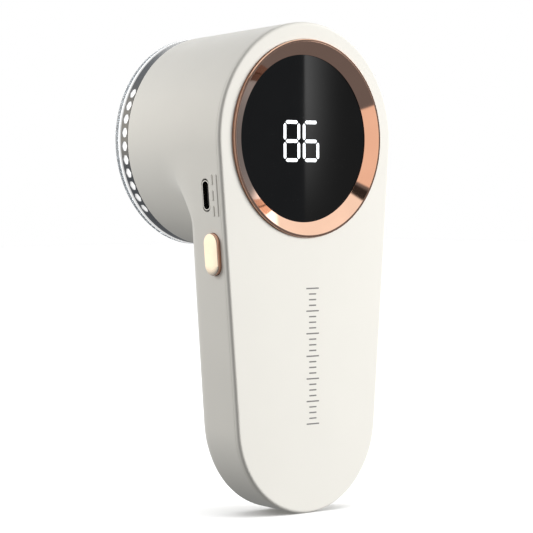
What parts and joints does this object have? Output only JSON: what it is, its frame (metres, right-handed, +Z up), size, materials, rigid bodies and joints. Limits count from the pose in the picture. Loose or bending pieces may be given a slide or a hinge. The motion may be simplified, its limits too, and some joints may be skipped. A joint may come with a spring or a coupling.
{
  "type": "fabric shaver",
  "caption": "Handheld rechargeable fabric shaver: flat paddle body with a round display, side charging socket and button, and a round foil-covered cutting head behind.",
  "frame": {"origin": "on the plane of the lowest point of the foot, under the centre of the object's width and depth", "axes": "+Y out through the cutting foil, so the display faces -Y; +Z up from the foot to the head; +X to the right when looking at the display"},
  "size_m": [0.0702, 0.0538, 0.1489],
  "materials": {
    "ivory_plastic": "satin, moulded",
    "rose_gold": "polished, rose-gold anodised",
    "smoked_glass": "polished, black",
    "clear_plastic": "polished, clear",
    "white_plastic": "satin, moulded",
    "black_plastic": "satin, moulded",
    "grey_plastic": "satin, moulded",
    "digit_white": "lit segments",
    "circuit_board": "solder mask, semi-gloss",
    "socket_steel": "drawn",
    "screw_steel": "plated",
    "foil_steel": "etched sheet, dark",
    "blade_steel": "ground",
    "spring_steel": "drawn wire",
    "motor_steel": "drawn, plated",
    "brass": "turned",
    "copper_winding": "enamelled wire",
    "battery_foil": "laminated pouch",
    "foam": "closed-cell",
    "red_sleeve": "satin",
    "black_sleeve": "satin",
    "ferrite": "sintered"
  },
  "bodies": {
    "body": {"rear_housing": "ivory_plastic", "front_cover": "ivory_plastic", "trim_ring": "rose_gold", "display_lens": "smoked_glass", "lens_tape": "foam", "led_display": "digit_white", "main_board": "circuit_board", "controller_chip": "black_plastic", "charger_chip": "black_plastic", "charger_coil": "grey_plastic", "charging_socket_shell": "socket_steel", "charging_socket_tongue": "black_plastic", "power_switch": "black_plastic", "battery_cell": "battery_foil", "battery_board": "circuit_board", "battery_pad": "foam", "battery_lead_red": "red_sleeve", "battery_lead_black": "black_sleeve", "motor_can": "motor_steel", "motor_end_cap": "white_plastic", "motor_magnet_1": "ferrite", "motor_magnet_2": "ferrite", "motor_bearing": "brass", "motor_terminal_1": "brass", "motor_terminal_2": "brass", "motor_lead_red": "red_sleeve", "motor_lead_black": "black_sleeve", "motor_holder": "white_plastic", "shaft_seal": "foam", "board_screw_1": "screw_steel", "cover_screw_1": "screw_steel", "holder_screw_1": "screw_steel", "board_screw_2": "screw_steel", "cover_screw_2": "screw_steel", "holder_screw_2": "screw_steel", "board_screw_3": "screw_steel", "cover_screw_3": "screw_steel", "holder_screw_3": "screw_steel", "motor_screw_1": "screw_steel", "motor_screw_2": "screw_steel"},
    "power_button": {"power_button": "rose_gold", "switch_plunger": "white_plastic"},
    "spindle": {"motor_shaft": "motor_steel", "motor_armature": "copper_winding", "motor_commutator": "brass", "drive_coupler": "grey_plastic", "blade_spring": "spring_steel"},
    "blade_head": {"blade_hub": "black_plastic", "blade_star": "blade_steel", "blade_rivet": "brass"},
    "foil_head": {"foil_cap": "foil_steel", "foil_carrier": "white_plastic"},
    "guard": {"guard_ring": "clear_plastic"}
  },
  "joints": [
    {"name": "button_press", "type": "slide", "parent": "body", "child": "power_button", "axis": [0.9967, 0, 0.0808], "range_m": [0, 0.0006], "stiffness_N_per_m": 800},
    {"name": "spindle_spin", "type": "hinge", "parent": "body", "child": "spindle", "pos_m": [0, 0, 0.1137], "axis": [0, 1, 0], "continuous": true},
    {"name": "blade_float", "type": "slide", "parent": "spindle", "child": "blade_head", "axis": [0, -1, 0], "range_m": [0, 0.001], "stiffness_N_per_m": 300, "springref_m": -0.003, "deforming": ["blade_spring"]},
    {"name": "foil_pull", "type": "slide", "parent": "body", "child": "foil_head", "axis": [0, 1, 0], "range_m": [0, 0.02]},
    {"name": "guard_pull", "type": "slide", "parent": "foil_head", "child": "guard", "axis": [0, 1, 0], "range_m": [0, 0.005]}
  ]
}
